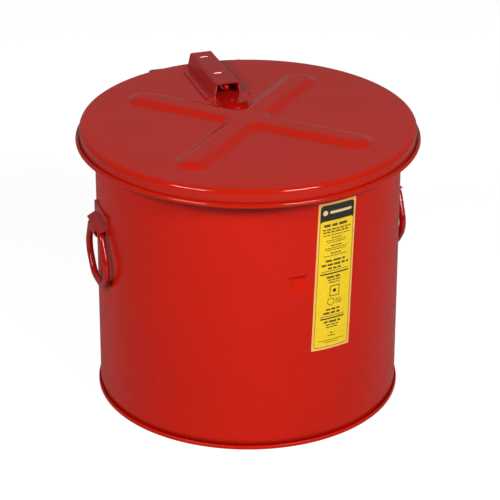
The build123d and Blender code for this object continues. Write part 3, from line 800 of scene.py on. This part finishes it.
def points_mesh(name, places):
    """A mesh of loose points, each with its outward direction as an attribute."""
    mesh = bpy.data.meshes.new(name)
    mesh.from_pydata([Vector(spot) * MM for spot, way in places], [], [])
    outward = mesh.attributes.new("outward", "FLOAT_VECTOR", "POINT")
    outward.data.foreach_set("vector", [v for spot, way in places for v in way])
    return mesh


rivet_tree, given, result = new_tree("heads_on_points", [("Head", "NodeSocketObject", None)])
way = add(rivet_tree, "GeometryNodeInputNamedAttribute", {"Name": "outward"},
          data_type="FLOAT_VECTOR")
turned = add(rivet_tree, "FunctionNodeAlignRotationToVector",
             links={"Vector": way.outputs["Attribute"]}, axis="Z")
head = add(rivet_tree, "GeometryNodeObjectInfo", links={"Object": given.outputs["Head"]})
heads = add(rivet_tree, "GeometryNodeInstanceOnPoints",
            links={"Points": given.outputs["Geometry"], "Instance": head.outputs["Geometry"],
                   "Rotation": turned.outputs["Rotation"]})
close_tree(rivet_tree, result, heads.outputs["Instances"], FITTING_RED)
print("rivet tree:", len(rivet_tree.nodes), "nodes")

# %% Rivets
bracket_low, bracket_high = box_mm("bracket_rivets")
RIVET_Z = (bracket_low.z + bracket_high.z) / 2
RIVET_ARCS = (-40, -14, 14, 40)
PLATE = 2.0
big_head = rivet_head("big_head", 4.5, 2.2)
outside_spots, inside_spots = [], []
for arc in RIVET_ARCS:
    turn = math.pi / 2 - arc / TANK_R
    way = Vector((math.cos(turn), math.sin(turn), 0))
    spot = Vector((0, 0, RIVET_Z))
    outside_spots.append((spot + way * (TANK_R + PLATE), way))
    inside_spots.append((spot + way * (TANK_R - SHEET), -way))
bracket_heads = run_tree("bracket_rivet_heads", rivet_tree,
                         points_mesh("bracket_spots", outside_spots + inside_spots),
                         {"Head": big_head})
place(bracket_heads, "tank", "red_enamel_fittings", "bracket_rivets")

small_head = rivet_head("small_head", 2.5, 1.8)
lip_low, lip_high = box_mm("lip_rivet")
lip_spot = (Vector(((lip_low.x + lip_high.x) / 2, (lip_low.y + lip_high.y) / 2, lip_low.z)),
            Vector((0, 0, 1)))
lip_head = run_tree("lip_rivet_head", rivet_tree, points_mesh("lip_spots", [lip_spot]),
                    {"Head": small_head})
place(lip_head, "lid", "red_enamel_fittings", "lip_rivet")
print("rivet heads:", len(outside_spots) + len(inside_spots) + 1)

# %% [markdown]
# ## Label
# The label is a printed polyester film, 0.3 mm with its glue, wrapped on the wall. The film is a
# loft of short cross sections along its width, which keeps it curved with the wall and lets its
# corners be round. The print is black and brown ink, as thin shapes that stand a hair above the
# film: a header block, an outline, two heavy rules, marks and rows of small bars that stand for
# text. Nothing on it can be read.

# %% Label film
LABEL_HALF_W = 25.4
LABEL_HALF_H = 91.0
LABEL_T = 0.3
LABEL_LEAN = math.radians(2.2)
GLUE = 0.02          # the film stands this far off the wall
FILM_CORNER_R = 1.2
label_low, label_high = box_mm("label")
LABEL_R = TANK_R + LABEL_T
LABEL_Z = (label_low.z + label_high.z) / 2
LABEL_TURN = -(math.acos(label_low.x / LABEL_R) + math.acos(label_high.x / LABEL_R)) / 2


def on_label(across, up, lift):
    """A place on the label, in mm from its middle, lifted from the wall, as a point in mm."""
    c, s = math.cos(LABEL_LEAN), math.sin(LABEL_LEAN)
    turn = LABEL_TURN + (across * c + up * s) / LABEL_R
    r = TANK_R + lift
    return (r * math.cos(turn), r * math.sin(turn), LABEL_Z - across * s + up * c)


def band(work, left, right, low, high, base, top, corner=0.0, foot_turn=1):
    """A thin curved plate between two heights. Its top corners are round when corner is set;
    foot_turn 1 rounds the foot too, 0 leaves it square and -1 flares it."""
    steps = max(1, math.ceil((right - left) / 2.5))
    stations = [left + (right - left) * i / steps for i in range(steps + 1)]
    if corner:
        ends = [corner * (1 - math.cos(math.radians(15 * i))) for i in range(7)]
        inner = [s for s in stations if left + corner + 0.1 < s < right - corner - 0.1]
        stations = [left + e for e in ends] + inner + [right - e for e in reversed(ends)]
    rings = []
    for s in stations:
        inward = max(0.0, corner - min(s - left, right - s))
        cut = corner - math.sqrt(max(0.0, corner ** 2 - inward ** 2))
        foot, head = low + cut * foot_turn, high - cut
        rings.append([on_label(s, foot, base), on_label(s, head, base),
                      on_label(s, head, top), on_label(s, foot, top)])
    loft(work, rings, close_ends=True)


def round_corners(half_w, half_h, turn_r):
    """A rounded rectangle's outline about the origin, with points along its level sides."""
    points = []
    for quarter, (sx, sy) in enumerate([(1, 1), (-1, 1), (-1, -1), (1, -1)]):
        for i in range(7):
            turn = math.radians(90 * quarter + 15 * i)
            points.append((sx * (half_w - turn_r) + turn_r * math.cos(turn),
                           sy * (half_h - turn_r) + turn_r * math.sin(turn)))
        if quarter % 2 == 0:
            points += [((half_w - turn_r) * sx * (1 - i / 8), sy * half_h) for i in range(1, 16)]
    return points


def hoop(work, middle_u, middle_v, half_w, half_h, turn_r, width, base, top):
    """A thin closed outline, width mm wide inwards, that follows a rounded rectangle."""
    outer = round_corners(half_w, half_h, turn_r)
    inner = round_corners(half_w - width, half_h - width, max(0.05, turn_r - width))
    rings = []
    for (a, b), (c, d) in zip(outer, inner):
        out, back = (middle_u + a, middle_v + b), (middle_u + c, middle_v + d)
        rings.append([on_label(*out, base), on_label(*back, base), on_label(*back, top),
                      on_label(*out, top)])
    loft(work, rings, wrap=True)


print("label turned", round(math.degrees(LABEL_TURN), 2), "middle height", round(LABEL_Z, 2))

# %% [markdown]
# ## Film and inks
# Polyester film is smooth and glossy, with a yellow that the sun hasn't faded. Screen ink lies on
# it as a thinner gloss, slightly uneven where the squeegee dragged it.

# %% Film and ink materials
def print_layer(name, hex_full, hex_worn, roughness, mottle_mm):
    """A printed or plain film layer: a flat colour with a little mottle and a smooth gloss."""
    material, tree, shader, spot = new_material(name)
    mottle = add(tree, "ShaderNodeTexNoise", {"Scale": per_mm(mottle_mm), "Detail": 3.0},
                 {"Vector": spot})
    share = add(tree, "ShaderNodeMapRange", {"From Min": 0.35, "From Max": 0.75},
                {"Value": mottle.outputs["Fac"]})
    tone = add(tree, "ShaderNodeMix", {"A": colour(hex_full), "B": colour(hex_worn)},
               {"Factor": share.outputs["Result"]}, data_type="RGBA")
    gloss = add(tree, "ShaderNodeMapRange", {"To Min": roughness, "To Max": roughness + 0.08},
                {"Value": mottle.outputs["Fac"]})
    bump = add(tree, "ShaderNodeBump", {"Strength": 0.1, "Distance": 0.02 * MM},
               {"Height": mottle.outputs["Fac"]})
    tree.links.new(tone.outputs["Result"], shader.inputs["Base Color"])
    tree.links.new(gloss.outputs["Result"], shader.inputs["Roughness"])
    tree.links.new(bump.outputs["Normal"], shader.inputs["Normal"])
    shader.inputs["IOR"].default_value = 1.55
    return material


POLYESTER = print_layer("polyester_film", "ffc765", "f8bd58", 0.25, 8)
YELLOW_INK = print_layer("yellow_screen_ink", "ffdc10", "fbd00a", 0.28, 6)
BLACK_INK = print_layer("black_screen_ink", "17140f", "231e14", 0.30, 3)
BROWN_INK = print_layer("brown_screen_ink", "5a3d10", "6d4b14", 0.32, 3)
PALE_INK = print_layer("pale_screen_ink", "f3d9a0", "ecd095", 0.30, 3)
print("inks:", YELLOW_INK.name, BLACK_INK.name, BROWN_INK.name, PALE_INK.name)

# %% Label pieces
INK = 0.04
PANEL = LABEL_T + INK
OUTLINE_HALF_W = 22.8
OUTLINE_TOP = 88.4
OUTLINE_FOOT = -88.2
OUTLINE_CORNER_R = 4.5
OUTLINE_W = 0.55
HEADER_FOOT = 69.0
ROWS = [  # height on the label, letter height, half width, tall letters or fine print
    (63.2, 3.2, 17.5), (58.2, 1.7, 18.5), (55.0, 1.7, 18.0), (51.2, 1.0, 17.5),
    (47.6, 1.3, 7.0), (44.6, 0.9, 14.0), (42.2, 0.9, 12.0), (38.0, 1.3, 7.5),
    (35.0, 0.9, 15.0), (32.6, 0.9, 13.0), (28.6, 1.3, 7.0), (25.6, 0.9, 15.5),
    (19.6, 2.4, 13.0), (14.6, 2.4, 18.0), (10.0, 2.2, 9.5), (6.8, 0.9, 18.0),
    (-1.0, 2.4, 10.5), (-4.6, 1.4, 8.5), (-7.6, 1.4, 7.0),
    (-41.4, 2.2, 9.0), (-45.8, 2.4, 12.5), (-49.6, 0.9, 16.0), (-57.0, 2.4, 11.0),
    (-60.8, 1.4, 8.5), (-63.8, 1.4, 7.5), (-71.0, 1.4, 2.0), (-74.6, 1.2, 5.0),
    (-80.0, 0.9, 17.0), (-82.6, 0.9, 9.0)]
HEAVY_RULES = [(3.6, 19.0), (-52.6, 16.0)]   # height on the label, half width
RULE_HALF = 0.8
BAR_LENGTHS = (1.6, 4.2)   # in letter heights
BAR_LEAST = 0.6
BAR_SPACE = 0.7            # in letter heights


def row_of_bars(work, up, height, half, draw, middle=0.0):
    """Small bars of uneven length, set like words along one row."""
    at = -half
    while at < half - height:
        length = min(draw.uniform(*BAR_LENGTHS) * height + BAR_LEAST, half - at)
        band(work, middle + at, middle + at + length, up - height / 2, up + height / 2,
             PANEL, PANEL + INK)
        at += length + BAR_SPACE * height


film_work = bmesh.new()
band(film_work, -LABEL_HALF_W, LABEL_HALF_W, -LABEL_HALF_H, LABEL_HALF_H, GLUE, LABEL_T,
     FILM_CORNER_R)
panel_work = bmesh.new()
band(panel_work, -OUTLINE_HALF_W, OUTLINE_HALF_W, OUTLINE_FOOT, OUTLINE_TOP, LABEL_T, PANEL,
     OUTLINE_CORNER_R)

black_work = bmesh.new()
band(black_work, -OUTLINE_HALF_W, OUTLINE_HALF_W, HEADER_FOOT, OUTLINE_TOP, PANEL, PANEL + INK,
     OUTLINE_CORNER_R, foot_turn=-1)
outline_mid = (OUTLINE_TOP + OUTLINE_FOOT) / 2
hoop(black_work, 0, outline_mid, OUTLINE_HALF_W, (OUTLINE_TOP - OUTLINE_FOOT) / 2,
     OUTLINE_CORNER_R, OUTLINE_W, PANEL, PANEL + INK)
for up, half in HEAVY_RULES:
    band(black_work, -half, half, up - RULE_HALF, up + RULE_HALF, PANEL, PANEL + INK)
hoop(black_work, 1.0, -18.5, 6.6, 6.6, 1.2, 0.9, PANEL, PANEL + INK)
band(black_work, -1.2, 3.2, -20.7, -16.3, PANEL, PANEL + INK, 2.15)
hoop(black_work, -3.2, -31.8, 4.7, 4.7, 4.6, 0.8, PANEL, PANEL + INK)

brown_work = bmesh.new()
draw = random.Random(7)
for up, height, half in ROWS:
    row_of_bars(brown_work, up, height, half, draw)
for up in (-29.6, -32.0, -34.4):
    row_of_bars(brown_work, up, 1.0, 4.2, draw, middle=7.2)
pale_work = bmesh.new()
band(pale_work, -10.5, 19.0, 77.4, 80.6, PANEL + INK, PANEL + 2 * INK, 1.2)
band(pale_work, -19.6, -13.4, 75.9, 82.1, PANEL + INK, PANEL + 2 * INK, 3.0)

layers = [("label_film_sheet", film_work, POLYESTER), ("label_panel", panel_work, YELLOW_INK),
          ("label_black_print", black_work, BLACK_INK),
          ("label_brown_print", brown_work, BROWN_INK),
          ("label_pale_print", pale_work, PALE_INK)]
for name, work, material in layers:
    layer = finish_mesh(name, work, material, smooth=False)
    place(layer, "tank", "label_film", *(["label"] if name == "label_film_sheet" else []))
    print(name, "faces:", len(layer.data.polygons))

# %% [markdown]
# ## Parts that stay as the CAD has them
# The wires inside the curls, the hinge pin and the eyelets are plain turned or drawn shapes, so
# each one only gets its finish.

# %% Finishes for the rest
KEPT = {"rim_wire": DRAWN_STEEL, "hem_wire": DRAWN_STEEL, "hinge_pin": DRAWN_STEEL,
        "link_eyelets": BRASS}
for node, material in KEPT.items():
    mesh = frame["nodes"][node].data
    mesh.materials.clear()
    mesh.materials.append(material)
print("kept CAD parts:", ", ".join(KEPT))

# %% [markdown]
# ## Finish
# The view layer is brought up to date once more.

# %% End
bpy.context.view_layer.update()
